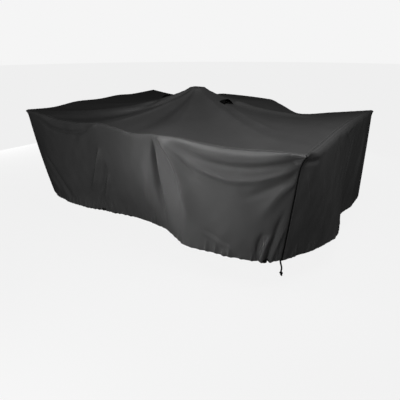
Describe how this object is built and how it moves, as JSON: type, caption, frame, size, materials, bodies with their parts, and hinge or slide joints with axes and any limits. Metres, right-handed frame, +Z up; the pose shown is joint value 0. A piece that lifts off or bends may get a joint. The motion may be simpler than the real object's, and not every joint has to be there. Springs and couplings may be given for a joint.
{
  "type": "patio furniture cover",
  "caption": "Fitted rectangular cover for a patio dining set, draped over a tall centre and chair backs, with a swagged top seam, hooded vents, a drawn-in hem and a knotted drawcord end.",
  "frame": {"origin": "underside of the top where the tall centre of the furniture holds it, the highest point inside the cover", "axes": "+Z up, +X towards the right end along the longer side, the front of the cover faces -Y"},
  "size_m": [2.8035, 1.9501, 1.1585],
  "materials": {
    "cloth": "satin",
    "vent_cloth": "matte",
    "cord": "matte"
  },
  "bodies": {
    "root": {"top_panel": "cloth", "front_panel": "cloth", "right_panel": "cloth", "back_panel": "cloth", "left_panel": "cloth", "vent_right": "vent_cloth", "vent_left": "vent_cloth", "drawcord_end": "cord", "hem_knot_left": "cord", "hem_knot_right": "cord"}
  },
  "joints": []
}
